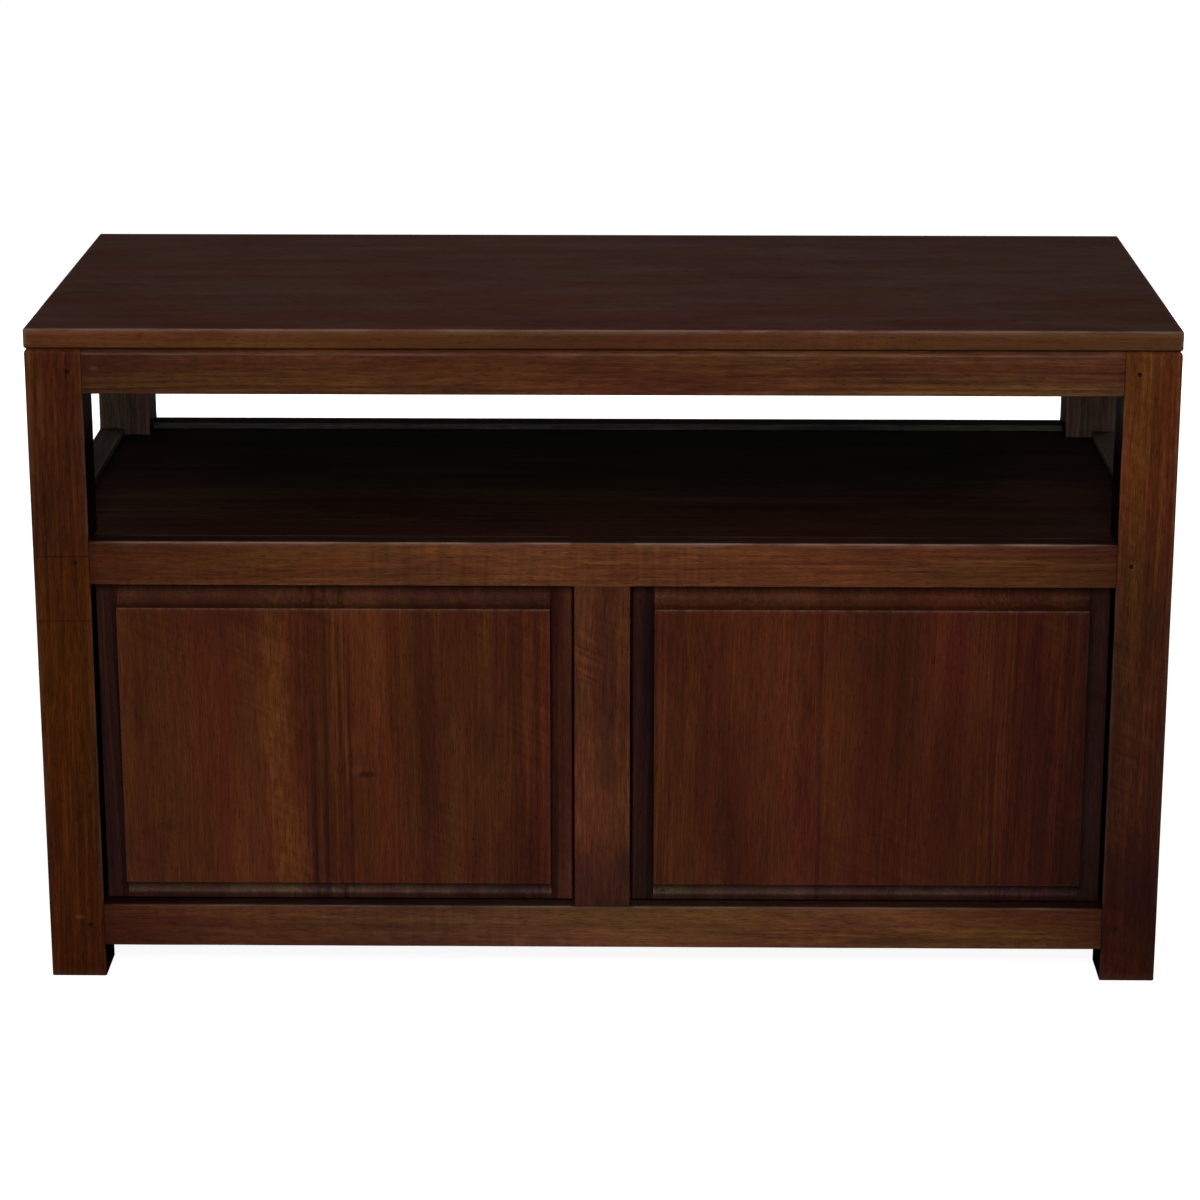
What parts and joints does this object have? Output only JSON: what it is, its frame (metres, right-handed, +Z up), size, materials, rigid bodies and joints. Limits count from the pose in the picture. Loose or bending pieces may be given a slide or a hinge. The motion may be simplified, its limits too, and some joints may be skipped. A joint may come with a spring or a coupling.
{
  "type": "tv stand",
  "caption": "Low mahogany tv stand with square legs, a flush top, an open through bay over a shelf, and drawers with raised and fielded faces.",
  "frame": {"origin": "on the floor under the middle of the stand", "axes": "+X to the viewer's right across the width, +Y towards the back, +Z up; the front faces -Y"},
  "size_m": [1, 0.45, 0.6],
  "materials": {
    "stained_mahogany": "dark stain under satin lacquer",
    "inner_hardwood": "planed, thin stain wash",
    "drawer_hardwood": "planed, clear sealer",
    "drawer_board": "sanded ply",
    "back_board": "thin stained board",
    "dark_peg": "stained end grain",
    "screw_steel": "zinc plated"
  },
  "bodies": {
    "carcass": {"centre_guide": "inner_hardwood", "centre_kicker": "inner_hardwood", "centre_runner": "inner_hardwood", "drawer_stops": "inner_hardwood", "front_bottom_rail": "stained_mahogany", "front_left_leg": "stained_mahogany", "front_middle_rail": "stained_mahogany", "front_mullion": "stained_mahogany", "front_right_leg": "stained_mahogany", "front_top_cleat": "inner_hardwood", "front_top_rail": "stained_mahogany", "left_bottom_rail": "stained_mahogany", "left_guide": "inner_hardwood", "left_kicker": "inner_hardwood", "left_middle_rail": "stained_mahogany", "left_runner": "inner_hardwood", "left_side_panel": "stained_mahogany", "left_top_rail": "stained_mahogany", "rear_bottom_rail": "stained_mahogany", "rear_left_leg": "stained_mahogany", "rear_middle_rail": "stained_mahogany", "rear_panel": "back_board", "rear_right_leg": "stained_mahogany", "rear_top_cleat": "inner_hardwood", "rear_top_rail": "stained_mahogany", "right_bottom_rail": "stained_mahogany", "right_guide": "inner_hardwood", "right_kicker": "inner_hardwood", "right_middle_rail": "stained_mahogany", "right_runner": "inner_hardwood", "right_side_panel": "stained_mahogany", "right_top_rail": "stained_mahogany", "shelf": "stained_mahogany", "table_top": "stained_mahogany", "tenon_pegs": "dark_peg", "top_screws": "screw_steel"},
    "left_drawer": {"left_drawer_face": "stained_mahogany", "left_drawer_box_front": "drawer_hardwood", "left_drawer_left_side": "drawer_hardwood", "left_drawer_right_side": "drawer_hardwood", "left_drawer_back": "drawer_hardwood", "left_drawer_bottom": "drawer_board", "left_drawer_screws": "screw_steel"},
    "right_drawer": {"right_drawer_face": "stained_mahogany", "right_drawer_box_front": "drawer_hardwood", "right_drawer_left_side": "drawer_hardwood", "right_drawer_right_side": "drawer_hardwood", "right_drawer_back": "drawer_hardwood", "right_drawer_bottom": "drawer_board", "right_drawer_screws": "screw_steel"}
  },
  "joints": [
    {"name": "left_drawer_slide", "type": "slide", "parent": "carcass", "child": "left_drawer", "axis": [0, -1, 0], "range_m": [0, 0.27]},
    {"name": "right_drawer_slide", "type": "slide", "parent": "carcass", "child": "right_drawer", "axis": [0, -1, 0], "range_m": [0, 0.27]}
  ]
}
